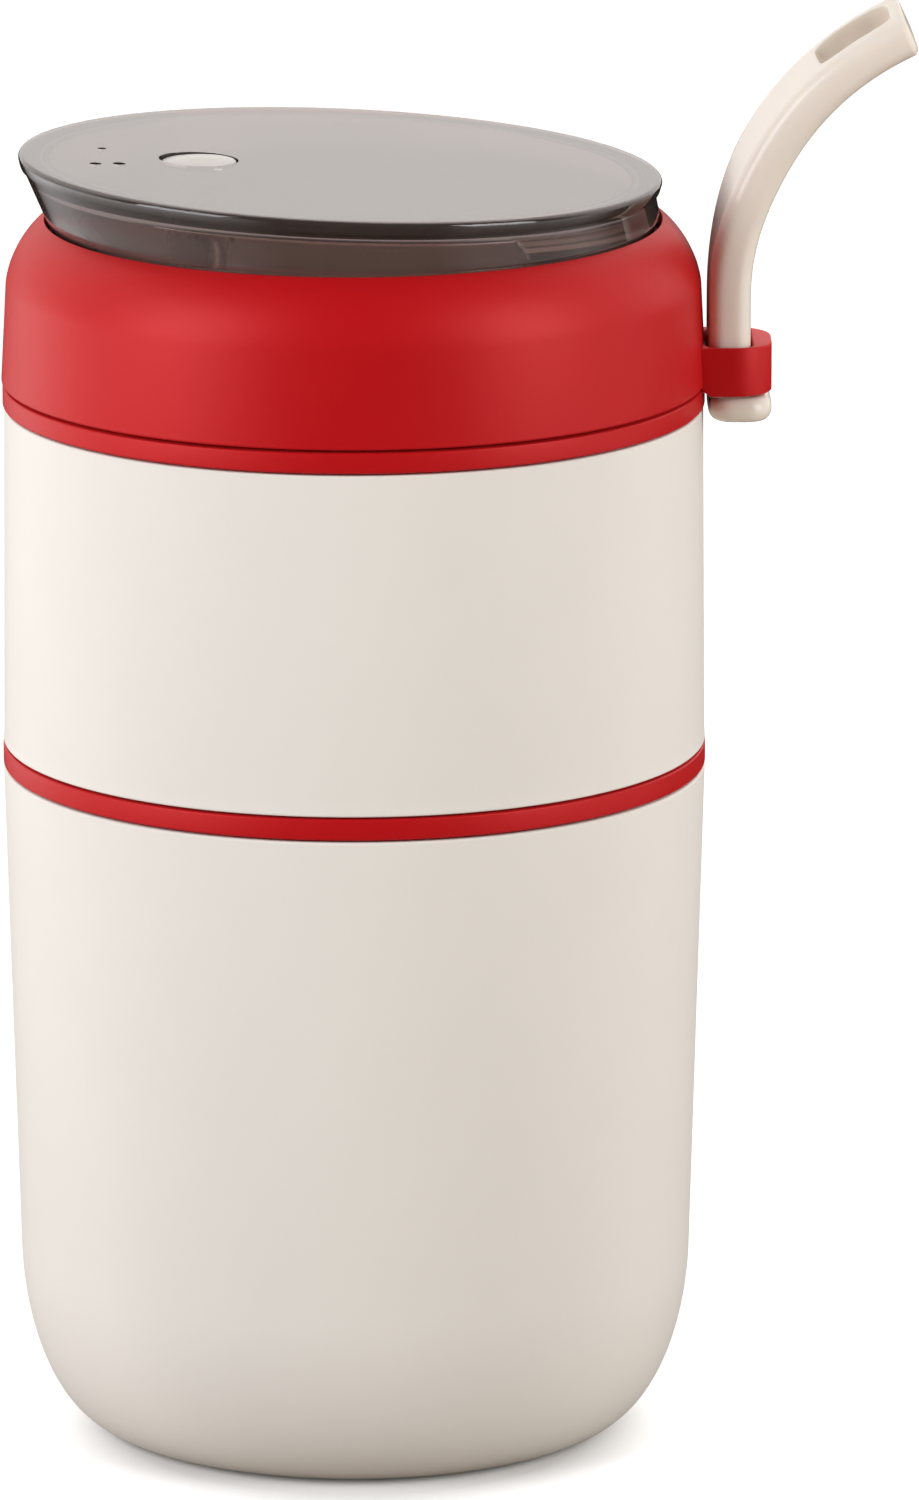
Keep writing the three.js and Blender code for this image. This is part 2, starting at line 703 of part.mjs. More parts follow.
const lid = new THREE.Group().add(
  named(
    "lid_gasket",
    flatRing(GASKET_INNER_R, GASKET_OUTER_R, LID_GASKET_Z, GASKET_HEIGHT),
    clearSilicone(),
  ),
  named("lid_collar", lidCollar(), redPlastic()),
  named("lid_insert", lidInsert(), whitePlastic()),
  named(
    "cover_seal",
    flatRing(COVER_SEAL_INNER_R, PLUG_R, COVER_SEAL_Z, COVER_SEAL_HEIGHT),
    clearSilicone(),
  ),
  named("lid_cover", lidCover(), finish(0x4a4240, 0.15, 0)),
  named("carry_strap", carryStrap(), finish(0xe8ded2, 0.35, 0)),
  valve,
);

export default new THREE.Group().add(lowerCup, upperTier, lid);
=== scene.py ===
# Two-tier breakfast cup: cream steel tiers, red screw necks and lid, smoky cover and a soft strap.
# Lengths are written in millimetres and made metres where a mesh is built.
import math

import bmesh
import bpy
from mathutils import Matrix, Vector


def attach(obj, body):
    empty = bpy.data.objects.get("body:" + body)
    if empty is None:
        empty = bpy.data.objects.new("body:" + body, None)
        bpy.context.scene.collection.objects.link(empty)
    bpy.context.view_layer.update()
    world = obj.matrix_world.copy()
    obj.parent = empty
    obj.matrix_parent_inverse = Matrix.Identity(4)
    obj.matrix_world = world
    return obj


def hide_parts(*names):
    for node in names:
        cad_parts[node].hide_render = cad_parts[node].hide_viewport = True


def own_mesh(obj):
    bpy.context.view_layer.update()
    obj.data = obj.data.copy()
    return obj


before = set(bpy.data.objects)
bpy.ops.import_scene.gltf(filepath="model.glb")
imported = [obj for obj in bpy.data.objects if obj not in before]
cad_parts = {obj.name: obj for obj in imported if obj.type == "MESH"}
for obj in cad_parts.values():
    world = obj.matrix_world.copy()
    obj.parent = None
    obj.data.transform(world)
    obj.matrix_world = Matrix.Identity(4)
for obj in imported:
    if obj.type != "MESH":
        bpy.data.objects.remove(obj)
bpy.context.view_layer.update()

MM = 0.001
GAP = 0.3
AROUND = 144
SMALL_AROUND = 64
MERGE_M = 1e-6
CRISP_ANGLE = math.radians(40)

# How far the rounds of small edges reach
TIGHT = 0.2
SLIGHT = 0.25
EASED = 0.3
FAIR = 0.35
SOFT = 0.4
BROAD = 0.5

# A round that reaches this far or further is cut into more steps
LARGE_ROUND = 3
ROUND_STEPS = 6
LARGE_ROUND_STEPS = 24

# Lower cup
SHELL_WALL = 0.9
BASE_Z = 0.2
BASE_FLAT_R = 33
BASE_RISE = 24.5
BELLY_R = 44.45
INNER_CORNER_LESS = 2
SHELL_FLOOR_Z = 2.6
LOWER_TOP_R = 46.59
LOWER_TOP_Z = 89.8
PAD_R = 27.7
PAD_HEIGHT = 1.4

# Steel liners
LINER_WALL = 0.8
LINER_R = 39.8
LIP_R = 41.4
MOUTH_ROUND = 0.7
LOWER_LINER_Z = 4.9
LOWER_LINER_CORNER = 14
LOWER_LIP_Z = 104.96
BOWL_Z = 108.8
BOWL_CORNER = 8
BOWL_LIP_Z = 153.3

# Flat gaskets on the lips
GASKET_IN_R = 38.4
GASKET_OUT_R = 41.3
TIER_GASKET_Z = 105.26
TIER_GASKET_TOP = 106.86
LID_GASKET_Z = 153.6
LID_GASKET_TOP = 155.2

# Necks, bands and sockets
NECK_R = 41.5
NECK_BORE = 40.1
NECK_HEIGHT = 11
SPIGOT_WALL = 2
SPIGOT_DEPTH = 3.8
LOWER_SPIGOT_R = 45.09
UPPER_SPIGOT_R = 44.95
MID_BAND_R = 46.62
MID_BAND_Z = 90.1
MID_BAND_TOP = 92.86
TOP_BAND_R = 46.35
TOP_BAND_Z = 138.5
TOP_BAND_TOP = 141.2
SOCKET_R = 42.7
SOCKET_OUT_R = 45.1
WEB_R = 37
WEB_Z = 107.16
WEB_TOP = 108.36

# Upper shell
UPPER_FOOT_R = 46.5
UPPER_TOP_R = 46.15
UPPER_TOP_Z = 138.2
FLARE = 0.1
FLARE_HEIGHT = 1.2

# Two-start thread
THREAD_LEAD = 8
THREAD_DEPTH = 0.75
THREAD_WIDTH = 1.5
THREAD_SINK = 0.2
THREAD_TURN_STEPS = 72
NECK_THREAD_START = 2
NECK_THREAD_HEIGHT = 7.4
SOCKET_THREAD_START = 2.4
SOCKET_THREAD_HEIGHT = 8

# Collar of the lid
COLLAR_FOOT_Z = 141.6
COLLAR_FOOT_R = 46.5
COLLAR_WALL = 1.4
SHOULDER_R = 45.554
SHOULDER_Z = 159.687
SHOULDER_ROUND = 5.4
SHOULDER_IN_R = 44.2
SHOULDER_IN_Z = 158.7
SHOULDER_IN_ROUND = 4.6
MOUTH_TOP_R = 40.66
MOUTH_TOP_Z = 163.2
MOUTH_R = 40.6
MOUTH_LIP_Z = 162.4
MOUTH_UNDER_Z = 161.3

# Loop of the collar
LOOP_REACH = 55.1
LOOP_HALF = 7.5
LOOP_CORNER = 5.3
LOOP_ROOT_X = 45.15
LOOP_BOTTOM_Z = 140.4
LOOP_TOP_Z = 146.9
LOOP_CLEAR_X = 46.9
LOOP_EDGE = 1.1
LOOP_EDGE_ANGLE = 0.9
LOOP_WAY_CORNER = 1.9
LOOP_MARGIN = 0.1

# Inner lid
FLOOR_Z = 155.5
FLOOR_TOP = 157.1
LID_FOOT_Z = 142.2
LID_FLANGE_R = 44.8
LID_FLANGE_TOP = 143.4
LID_OUT_R = 43.7
LID_CORNER = 1
LID_THREAD_Z = 144.4
RIB_IN_R = 40.2
RIB_OUT_R = 41.5
RIB_TOP = 159.9
GUIDE_BORE_R = 2.5
GUIDE_CUT_R = 2.6
GUIDE_OUT_R = 3.6
GUIDE_TOP = 160.5
GUIDE_CUT_PAST = 1

# Cover
COVER_TILT = math.radians(2.51)
COVER_TURN = math.radians(11)
COVER_X = -1.7
COVER_Z = 170.4
FLAT_R = 41.75
FLAT_MARGIN = 0.6
RIM_R = 42.35
RIM_DEPTH = 1.75
RIM_STEPS = 8
PLATE = 2.2
COVER_WALL = 1.6
COVER_INNER_R = 39.5
CREASE = 0.35
CREASE_LEAN = 0.12
CREASE_ABOVE = 0.25
CREASE_STEP = 0.1
CREASE_BELOW = 0.4
SKIRT_X = -0.1
SKIRT_R = 40.3
SKIRT_Z = 163.3
SKIRT_FLARE = 0.1
PLUG_R = 39.6
PLUG_Z = 158.9
# Inside corner under the plate: how far inwards, and how far below the plate
PLATE_CORNER = ((0, 1), (0.4, 0.3), (1, 0), (1.6, 0))
HOLE_R = 5.25
# Place and radius of each vent
VENTS = ((-33.1, 3.6, 0.58), (-33.7, -7.8, 0.78), (-30.6, -7.1, 0.85))
VENT_AROUND = 24
COVER_CUT_PAST = 6

# Seal under the cover's plug
COVER_SEAL_IN_R = 37.4
COVER_SEAL_Z = 157.4
COVER_SEAL_TOP = 158.6

# Valve
VALVE = Vector((-20.3, -1.5, 0)) * MM
BUTTON_R = 5
BUTTON_Z = 171
BUTTON_DEPTH = 2.3
CROWN_R = 2.6
CROWN_RISE = 0.34
CROWN_TOP = 0.45
CROWN_ROUND = 2
STEM_R = 2
STEM_NECK_R = 1.3
STEM_FOOT_R = 2.2
STEM_FOOT_Z = 152.4
STEM_FOOT_TOP = 153.2
STEM_SEAL_BORE_R = 1.6
STEM_SEAL_R = 5.2
STEM_SEAL_Z = 153.5
STEM_SEAL_TOP = 155.2
SPRING_R = 4.3
SPRING_WIRE = 0.8
SPRING_CURLS = 5
CURL_STEPS = 32
SPRING_FOOT_Z = 157.4
SPRING_HEAD_Z = 168.4

# Strap
STRAP_HALF = 6.4
STRAP_THICK = 5.6
STRAP_INNER_X = 46.65
STRAP_EDGE = 2.1
BEND_Z = 153.2
BEND_R = 38.75
BEND_END = math.radians(65.35)
STRAP_ROLL = math.radians(9)
ROLL_START = 2
ROLL_END = 21
STRAIGHT_RUNS = [-14.5, -11, -8, -5, -2.5]
LEAD_STEPS = 18
LEAD_GAP = 1
TIP_CORNER = 1.7
TIP_ROUND = 0.9
TIP_STEPS = 5

# Slot of the strap
SLOT_MIDDLE = math.radians(56.5)
SLOT_HALF_LENGTH = 5.2
SLOT_HALF_WIDTH = 3.9
SLOT_SHARES = (-1, -0.6, -0.2, 0.2, 0.6, 1)
SLOT_FACE_NEAR = 1
SLOT_SIDE_NEAR = 0.1
SLOT_END_NEAR = 0.8
SLOT_CORNER_PULL = 0.66
SLOT_EDGE = 0.45

# Foot of the strap, under the loop
FOOT_REACH_X = 55.1
FOOT_BOTTOM_Z = 136.7
FOOT_HALF = 7.4
FOOT_CORNER = 3.4
FOOT_EDGE = 1.5
FOOT_EDGE_ANGLE = 1.2


# Shapes


def ease(bm, geom, reach, segments, affect="EDGES", clamp=False):
    """Rounds corners or edges of a bmesh."""
    return bmesh.ops.bevel(
        bm,
        geom=geom,
        affect=affect,
        offset=reach * MM,
        offset_type="OFFSET",
        segments=segments,
        profile=0.5,
        material=-1,
        clamp_overlap=clamp,
    )


def spun(section, place=(0, 0, 0), closed=False, steps=AROUND):
    """A turned bmesh from a half section of (radius, height, how far its round reaches)."""
    bm = bmesh.new()
    points = [bm.verts.new((r * MM, 0, z * MM)) for r, z, _ in section]
    ends = points[1:] + points[:1] if closed else points[1:]
    for a, b in zip(points, ends):
        bm.edges.new((a, b))
    for point, (_, _, reach) in zip(points, section):
        if reach:
            segments = ROUND_STEPS if reach < LARGE_ROUND else LARGE_ROUND_STEPS
            ease(bm, [point], reach, segments, affect="VERTICES")
    bmesh.ops.spin(
        bm,
        geom=bm.verts[:] + bm.edges[:],
        cent=(0, 0, 0),
        axis=(0, 0, 1),
        angle=2 * math.pi,
        steps=steps,
        use_merge=True,
    )
    bmesh.ops.remove_doubles(bm, verts=bm.verts[:], dist=MERGE_M)
    bmesh.ops.recalc_face_normals(bm, faces=bm.faces[:])
    bmesh.ops.translate(bm, vec=place, verts=bm.verts[:])
    return bm


def ring(inner, outer, bottom, top, reach):
    """Half section of a plain ring with all four corners eased."""
    return [(inner, bottom, reach), (outer, bottom, reach), (outer, top, reach), (inner, top, reach)]


def add_thread(bm, wall_r, inward, start_z, height):
    """Two ridges that wind up a round wall, for screwing."""
    side = -1 if inward else 1
    turns = height / THREAD_LEAD
    steps = int(THREAD_TURN_STEPS * turns)
    crest = wall_r + side * THREAD_DEPTH
    root = wall_r - side * THREAD_SINK
    half = THREAD_WIDTH / 2
    profile = [(root, -half), (crest, -half / 2), (crest, half / 2), (root, half)]
    for start in (0, math.pi):
        points = [bm.verts.new((r * MM, 0, (start_z + z) * MM)) for r, z in profile]
        edges = [bm.edges.new((a, b)) for a, b in zip(points, points[1:] + points[:1])]
        bmesh.ops.rotate(bm, cent=(0, 0, 0), matrix=Matrix.Rotation(start, 3, "Z"), verts=points)
        cap = bmesh.ops.contextual_create(bm, geom=edges)["faces"]
        bmesh.ops.spin(
            bm,
            geom=points + edges + cap,
            cent=(0, 0, 0),
            axis=(0, 0, 1),
            dvec=(0, 0, height * MM / steps),
            angle=2 * math.pi * turns,
            steps=steps,
        )
    bmesh.ops.recalc_face_normals(bm, faces=bm.faces[:])
    return bm


def add_outline(bm, corners):
    """A closed flat outline of edges from (x, y, how far the corner's round reaches)."""
    points = [bm.verts.new((x * MM, y * MM, 0)) for x, y, _ in corners]
    for a, b in zip(points, points[1:] + points[:1]):
        bm.edges.new((a, b))
    for point, (_, _, reach) in zip(points, corners):
        if reach:
            ease(bm, [point], reach, segments=10, affect="VERTICES")


def loft(bm, places):
    """Draws the outline in a bmesh on through a row of places and caps both ends."""
    bmesh.ops.transform(bm, matrix=places[0], verts=bm.verts[:])
    rim = bm.edges[:]
    bmesh.ops.contextual_create(bm, geom=rim)
    for before, after in zip(places, places[1:]):
        grown = bmesh.ops.extrude_edge_only(bm, edges=rim)["geom"]
        rim = [g for g in grown if isinstance(g, bmesh.types.BMEdge)]
        moved = [g for g in grown if isinstance(g, bmesh.types.BMVert)]
        bmesh.ops.transform(bm, matrix=after @ before.inverted(), verts=moved)
    bmesh.ops.contextual_create(bm, geom=rim)
    bmesh.ops.recalc_face_normals(bm, faces=bm.faces[:])


def part(name, bm):
    """A new object from a bmesh."""
    mesh = bpy.data.meshes.new(name)
    bm.to_mesh(mesh)
    bm.free()
    piece = bpy.data.objects.new(name, mesh)
    bpy.context.collection.objects.link(piece)
    return piece


def drill(x, y, radius, bottom, top, around):
    """A round cutter that stands upright."""
    section = [(0, bottom, 0), (radius, bottom, 0), (radius, top, 0), (0, top, 0)]
    return part("cutter", spun(section, place=(x * MM, y * MM, 0), steps=around))


def drilled(piece, cutters):
    """Cuts holes out of a finished piece and drops the cutters."""
    for cutter in cutters:
        cut = piece.modifiers.new("cut", "BOOLEAN")
        cut.object = cutter
        cut.solver = "EXACT"
    ready = piece.evaluated_get(bpy.context.evaluated_depsgraph_get())
    mesh = bpy.data.meshes.new_from_object(ready)
    piece.modifiers.clear()
    piece.data = mesh
    for cutter in cutters:
        bpy.data.objects.remove(cutter)


def dress(piece, material, body, node):
    """Finishes a piece: smooth with crisp corners, its material, its body and the solid it stands for."""
    piece.data.materials.clear()
    piece.data.materials.append(material)
    piece.data.shade_smooth()
    piece.data.set_sharp_from_angle(angle=CRISP_ANGLE)
    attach(piece, body)
    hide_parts(node)
    return piece


# Materials

SMOKE_PER_M = 400
PATCH = 14
PATCH_DETAIL = 3.0
GRAIN_DETAIL = 2.0

# The sRGB curve
SRGB_KNEE = 0.04045
SRGB_SLOPE = 12.92
SRGB_OFFSET = 0.055
SRGB_POWER = 2.4


def tone(code):
    """Linear colour of an sRGB hex value."""
    levels = [int(code[i : i + 2], 16) / 255 for i in (1, 3, 5)]
    linear = [
        v / SRGB_SLOPE if v <= SRGB_KNEE else ((v + SRGB_OFFSET) / (1 + SRGB_OFFSET)) ** SRGB_POWER
        for v in levels
    ]
    return (*linear, 1)


def add(tree, kind, inputs, **settings):
    """Adds a node, sets its options, and sets or links its sockets."""
    node = tree.nodes.new(kind)
    for option, value in settings.items():
        setattr(node, option, value)
    for socket, value in inputs.items():
        if isinstance(value, bpy.types.NodeSocket):
            tree.links.new(value, node.inputs[socket])
        else:
            node.inputs[socket].default_value = value
    return node


def surface(name, dark, light, grain, depth, rough, shader, stretch=(1, 1, 1), smoke=None):
    """A material with a soft change of colour, a fine grain in relief and a changing gloss."""
    material = bpy.data.materials.new(name)
    material.use_nodes = True
    tree = material.node_tree
    tree.nodes.clear()
    place = add(tree, "ShaderNodeTexCoord", {}).outputs["Object"]
    spread = add(tree, "ShaderNodeMapping", {"Vector": place, "Scale": stretch}).outputs["Vector"]
    cloud = add(
        tree,
        "ShaderNodeTexNoise",
        {"Vector": place, "Scale": 1 / (PATCH * MM), "Detail": PATCH_DETAIL},
    )
    colour = add(
        tree,
        "ShaderNodeMix",
        {"Factor": cloud.outputs["Fac"], "A": tone(dark), "B": tone(light)},
        data_type="RGBA",
    )
    fine = add(
        tree,
        "ShaderNodeTexNoise",
        {"Vector": spread, "Scale": 1 / (grain * MM), "Detail": GRAIN_DETAIL},
    )
    gloss = add(
        tree,
        "ShaderNodeMapRange",
        {"Value": fine.outputs["Fac"], "To Min": rough[0], "To Max": rough[1]},
    )
    relief = add(
        tree,
        "ShaderNodeBump",
        {"Height": fine.outputs["Fac"], "Strength": 1.0, "Distance": depth * MM},
    )
    settings = {
        "Base Color": colour.outputs["Result"],
        "Roughness": gloss.outputs["Result"],
        "Normal": relief.outputs["Normal"],
        **shader,
    }
    bsdf = add(tree, "ShaderNodeBsdfPrincipled", settings)
    result = {"Surface": bsdf.outputs["BSDF"]}
    if smoke:
        tint = {"Color": tone(smoke), "Density": SMOKE_PER_M}
        result["Volume"] = add(tree, "ShaderNodeVolumeAbsorption", tint).outputs["Volume"]
    add(tree, "ShaderNodeOutputMaterial", result)
    return material


# Powder coat on steel, sprayed and baked: satin, with a faint orange peel
cream_coat = surface(
    "cream_powder_coat",
    dark="#E8E3DC",
    light="#ECE7E0",
    grain=0.7,
    depth=0.006,
    rough=(0.4, 0.5),
    shader={"IOR": 1.5, "Specular IOR Level": 0.17},
)
# Moulded ABS with a soft-touch lacquer: deep red, broad dull highlights, very fine grain
red_abs = surface(
    "red_soft_touch_abs",
    dark="#B70A10",
    light="#BD0D14",
    grain=0.45,
    depth=0.004,
    rough=(0.42, 0.5),
    shader={
        "IOR": 1.5,
        "Specular IOR Level": 0.85,
        "Specular Tint": tone("#FF8080"),
        "Sheen Weight": 0.5,
        "Sheen Roughness": 0.4,
        "Sheen Tint": tone("#FF3838"),
    },
)
# Moulded silicone rubber of the strap: smooth, a little see-into, soft highlights
strap_silicone = surface(
    "cream_silicone",
    dark="#E8DED2",
    light="#EDE4DA",
    grain=1.2,
    depth=0.00005,
    rough=(0.2, 0.25),
    shader={
        "IOR": 1.43,
        "Subsurface Weight": 0.35,
        "Subsurface Radius": (0.004, 0.003, 0.002),
        "Subsurface Scale": 0.5,
    },
)
# Smoky copolyester, moulded clear and polished: deep grey-brown, sharp reflections, faint haze
smoky_clear = surface(
    "smoky_copolyester",
    dark="#D6B8AD",
    light="#DBC0B6",
    grain=1.6,
    depth=0.0008,
    rough=(0.03, 0.07),
    shader={"IOR": 1.56, "Transmission Weight": 0.94},
    smoke="#A2ABB5",
)
# Polished polypropylene of the button: off-white with a clear gloss
button_gloss = surface(
    "off_white_polypropylene",
    dark="#C9C2BE",
    light="#CEC8C4",
    grain=0.8,
    depth=0.002,
    rough=(0.2, 0.28),
    shader={"IOR": 1.49},
)
# Drawn stainless steel, brushed round the axis: fine level streaks
brushed_steel = surface(
    "brushed_stainless_steel",
    dark="#B9B7B3",
    light="#C8C6C2",
    grain=2.4,
    depth=0.004,
    rough=(0.26, 0.4),
    stretch=(0.06, 0.06, 5),
    shader={"Metallic": 1.0, "Anisotropic": 0.4},
)
# Milky silicone seals: matt and slightly see-into
milky_silicone = surface(
    "milky_silicone",
    dark="#DDDDD7",
    light="#E4E4DF",
    grain=0.6,
    depth=0.004,
    rough=(0.48, 0.6),
    shader={"IOR": 1.43, "Subsurface Weight": 0.3, "Subsurface Radius": (0.003, 0.003, 0.003)},
)
# Moulded polypropylene of the inner lid: off-white, satin
inner_plastic = surface(
    "satin_polypropylene",
    dark="#E8E5E0",
    light="#EDEAE6",
    grain=0.5,
    depth=0.004,
    rough=(0.36, 0.46),
    shader={"IOR": 1.49},
)
# Matt silicone pad under the base, moulded with a fine texture for grip
pad_silicone = surface(
    "matt_pad_silicone",
    dark="#D5CEC4",
    light="#DBD5CB",
    grain=0.4,
    depth=0.02,
    rough=(0.55, 0.7),
    shader={"IOR": 1.43},
)
# Drawn spring wire: bright, with fine draw lines
spring_wire = surface(
    "drawn_spring_wire",
    dark="#ADABA8",
    light="#BDBBB8",
    grain=0.5,
    depth=0.003,
    rough=(0.2, 0.34),
    shader={"Metallic": 1.0},
)


# Lower cup


def lower_shell():
    """The shell; its base corner is turned as a circle and then stretched upwards."""
    corner = BELLY_R - BASE_FLAT_R
    squeeze = corner / BASE_RISE
    turn_z = BASE_Z + BASE_RISE
    flat_z = turn_z - BASE_RISE * squeeze
    floor_z = turn_z - (turn_z - SHELL_FLOOR_Z) * squeeze
    recess_z = turn_z - (turn_z - PAD_HEIGHT - GAP) * squeeze
    bm = spun(
        [
            (0, recess_z, 0),
            (PAD_R + GAP, recess_z, 0),
            (PAD_R + GAP, flat_z, EASED),
            (BELLY_R, flat_z, corner),
            (LOWER_TOP_R, LOWER_TOP_Z, FAIR),
            (LOWER_TOP_R - SHELL_WALL, LOWER_TOP_Z, 0),
            (BELLY_R - SHELL_WALL, floor_z, corner - INNER_CORNER_LESS),
            (0, floor_z, 0),
        ]
    )
    low = [v for v in bm.verts if v.co.z < turn_z * MM]
    about = Matrix.Translation((0, 0, -turn_z * MM))
    bmesh.ops.scale(bm, vec=(1, 1, 1 / squeeze), space=about, verts=low)
    return part("lower_shell_coated", bm)


def base_pad():
    bm = spun([(0, 0, 0), (PAD_R, 0, SOFT), (PAD_R, PAD_HEIGHT, TIGHT), (0, PAD_HEIGHT, 0)])
    return part("base_pad_moulded", bm)


def liner(name, bottom, corner, lip_top):
    mouth = LINER_R - LINER_WALL
    bm = spun(
        [
            (0, bottom, 0),
            (LINER_R, bottom, corner),
            (LINER_R, lip_top - LINER_WALL, TIGHT),
            (LIP_R, lip_top - LINER_WALL, FAIR),
            (LIP_R, lip_top, FAIR),
            (mouth, lip_top, MOUTH_ROUND),
            (mouth, bottom + LINER_WALL, corner - LINER_WALL),
            (0, bottom + LINER_WALL, 0),
        ]
    )
    return part(name, bm)


def neck(name, band_r, band_z, band_top, spigot_r):
    top = band_top + NECK_HEIGHT
    spigot_in_r = spigot_r - SPIGOT_WALL
    spigot_z = band_z - SPIGOT_DEPTH
    bm = spun(
        [
            (spigot_in_r, spigot_z, TIGHT),
            (spigot_r, spigot_z, SOFT),
            (spigot_r, band_z, 0),
            (band_r, band_z, SLIGHT),
            (band_r, band_top, SLIGHT),
            (NECK_R, band_top, EASED),
            (NECK_R, top, EASED),
            (NECK_BORE, top, TIGHT),
            (NECK_BORE, band_z, 0),
            (spigot_in_r, band_z, 0),
        ],
        closed=True,
    )
    add_thread(bm, NECK_R, False, band_top + NECK_THREAD_START, NECK_THREAD_HEIGHT)
    return part(name, bm)


# Upper tier


def upper_shell():
    foot = MID_BAND_TOP + GAP
    bm = spun(
        [
            (UPPER_FOOT_R - SHELL_WALL, foot, 0),
            (UPPER_FOOT_R + FLARE, foot, EASED),
            (UPPER_FOOT_R, foot + FLARE_HEIGHT, BROAD),
            (UPPER_TOP_R, UPPER_TOP_Z, EASED),
            (UPPER_TOP_R - SHELL_WALL, UPPER_TOP_Z, 0),
        ],
        closed=True,
    )
    return part("upper_shell_coated", bm)


def screw_ring():
    foot = MID_BAND_TOP + 2 * GAP
    bm = spun(
        [
            (SOCKET_R, foot, SOFT),
            (SOCKET_OUT_R, foot, SOFT),
            (SOCKET_OUT_R, WEB_TOP, BROAD),
            (WEB_R, WEB_TOP, SOFT),
            (WEB_R, WEB_Z, SOFT),
            (SOCKET_R, WEB_Z, EASED),
        ],
        closed=True,
    )
    add_thread(bm, SOCKET_R, True, foot + SOCKET_THREAD_START, SOCKET_THREAD_HEIGHT)
    return part("tier_screw_ring_moulded", bm)


# Lid


def collar_loop():
    """The loop as a bmesh: a flat ring round the strap's way, raised, with its root inside the collar."""
    bm = bmesh.new()
    outer = [
        (LOOP_ROOT_X, -LOOP_HALF, 0),
        (LOOP_CLEAR_X, -LOOP_HALF, 0),
        (LOOP_REACH, -LOOP_HALF, LOOP_CORNER),
        (LOOP_REACH, LOOP_HALF, LOOP_CORNER),
        (LOOP_CLEAR_X, LOOP_HALF, 0),
        (LOOP_ROOT_X, LOOP_HALF, 0),
    ]
    add_outline(bm, outer)
    way = STRAP_HALF + GAP
    way_left = STRAP_INNER_X - GAP
    way_right = STRAP_INNER_X + STRAP_THICK + GAP
    spots = [(way_left, -way), (way_right, -way), (way_right, way), (way_left, way)]
    add_outline(bm, [(x, y, LOOP_WAY_CORNER) for x, y in spots])
    bmesh.ops.triangle_fill(bm, edges=bm.edges[:], use_beauty=True)
    bmesh.ops.translate(bm, vec=(0, 0, LOOP_BOTTOM_Z * MM), verts=bm.verts[:])
    grown = bmesh.ops.extrude_face_region(bm, geom=bm.faces[:])["geom"]
    lifted = [g for g in grown if isinstance(g, bmesh.types.BMVert)]
    bmesh.ops.translate(bm, vec=(0, 0, (LOOP_TOP_Z - LOOP_BOTTOM_Z) * MM), verts=lifted)
    bmesh.ops.recalc_face_normals(bm, faces=bm.faces[:])
    root_x = (LOOP_CLEAR_X - LOOP_MARGIN) * MM
    root = [v for v in bm.verts if v not in lifted and v.co.x < root_x]
    root_rise = (COLLAR_FOOT_Z + LOOP_MARGIN - LOOP_BOTTOM_Z) * MM
    bmesh.ops.translate(bm, vec=(0, 0, root_rise), verts=root)
    crisp = [e for e in bm.edges if e.is_manifold and e.calc_face_angle() > LOOP_EDGE_ANGLE]
    ease(bm, crisp, LOOP_EDGE, segments=5, clamp=True)
    return bm


def collar():
    bm = spun(
        [
            (COLLAR_FOOT_R - COLLAR_WALL, COLLAR_FOOT_Z, TIGHT),
            (COLLAR_FOOT_R, COLLAR_FOOT_Z, EASED),
            (SHOULDER_R, SHOULDER_Z, SHOULDER_ROUND),
            (MOUTH_TOP_R, MOUTH_TOP_Z, TIGHT),
            (MOUTH_R, MOUTH_LIP_Z, TIGHT),
            (MOUTH_R, MOUTH_UNDER_Z, TIGHT),
            (SHOULDER_IN_R, SHOULDER_IN_Z, SHOULDER_IN_ROUND),
        ],
        closed=True,
    )
    loop = part("strap_loop", collar_loop())
    bm.from_mesh(loop.data)
    bpy.data.objects.remove(loop)
    return part("lid_collar_with_loop", bm)


def inner_lid():
    bm = spun(
        [
            (0, FLOOR_Z, 0),
            (SOCKET_R, FLOOR_Z, EASED),
            (SOCKET_R, LID_FOOT_Z, EASED),
            (LID_FLANGE_R, LID_FOOT_Z, TIGHT),
            (LID_FLANGE_R, LID_FLANGE_TOP, TIGHT),
            (LID_OUT_R, LID_FLANGE_TOP, TIGHT),
            (LID_OUT_R, FLOOR_TOP, LID_CORNER),
            (RIB_OUT_R, FLOOR_TOP, TIGHT),
            (RIB_OUT_R, RIB_TOP, EASED),
            (RIB_IN_R, RIB_TOP, EASED),
            (RIB_IN_R, FLOOR_TOP, EASED),
            (0, FLOOR_TOP, 0),
        ]
    )
    add_thread(bm, SOCKET_R, True, LID_THREAD_Z, SOCKET_THREAD_HEIGHT)
    piece = part("inner_lid_moulded", bm)
    bottom = FLOOR_Z - GUIDE_CUT_PAST
    top = FLOOR_TOP + GUIDE_CUT_PAST
    drilled(piece, [drill(VALVE.x / MM, VALVE.y / MM, GUIDE_CUT_R, bottom, top, SMALL_AROUND)])
    guide = ring(GUIDE_BORE_R, GUIDE_OUT_R, FLOOR_Z, GUIDE_TOP, SLIGHT)
    tube = part("valve_guide", spun(guide, place=VALVE, closed=True, steps=SMALL_AROUND))
    whole = bmesh.new()
    whole.from_mesh(piece.data)
    whole.from_mesh(tube.data)
    whole.to_mesh(piece.data)
    whole.free()
    bpy.data.objects.remove(tube)
    return piece


def cover_place(x, z, radius, tilt=0):
    """Matrix that puts a unit circle on a level or tilted ring of the cover."""
    turn = Matrix.Rotation(COVER_TURN, 4, "Z")
    lean = Matrix.Translation((x * MM, 0, z * MM)) @ Matrix.Rotation(tilt, 4, "Y")
    return turn @ lean @ Matrix.Scale(radius * MM, 4)


def rim_place(radius, depth):
    """Matrix of a ring that is level with the tilted disc, at a depth under its top."""
    x = COVER_X - depth * math.sin(COVER_TILT)
    z = COVER_Z - depth * math.cos(COVER_TILT)
    return cover_place(x, z, radius, COVER_TILT)


